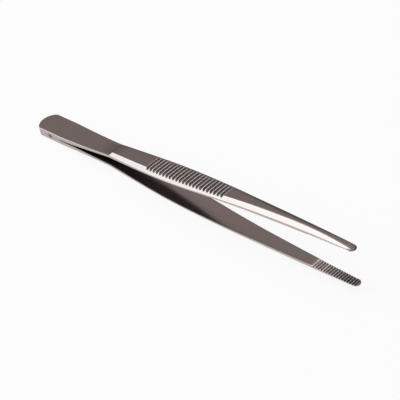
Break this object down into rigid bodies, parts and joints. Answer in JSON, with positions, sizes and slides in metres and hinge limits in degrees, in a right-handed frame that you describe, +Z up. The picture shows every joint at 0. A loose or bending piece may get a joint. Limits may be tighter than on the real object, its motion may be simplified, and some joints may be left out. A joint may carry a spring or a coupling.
{
  "type": "thumb forceps",
  "caption": "Spring thumb forceps of polished steel with a cross-grooved grip and toothed blunt tips, for holding dressings and tissue.",
  "frame": {"origin": "centre of the bounding box's footprint, on the surface that the forceps lies on", "axes": "+X from the heel to the tips, +Y across the arms' width, +Z up from the lower arm to the upper arm"},
  "size_m": [0.1402, 0.0092, 0.0175],
  "materials": {
    "steel": "polished"
  },
  "bodies": {
    "root": {"upper_arm": "steel", "lower_arm": "steel"}
  },
  "joints": []
}
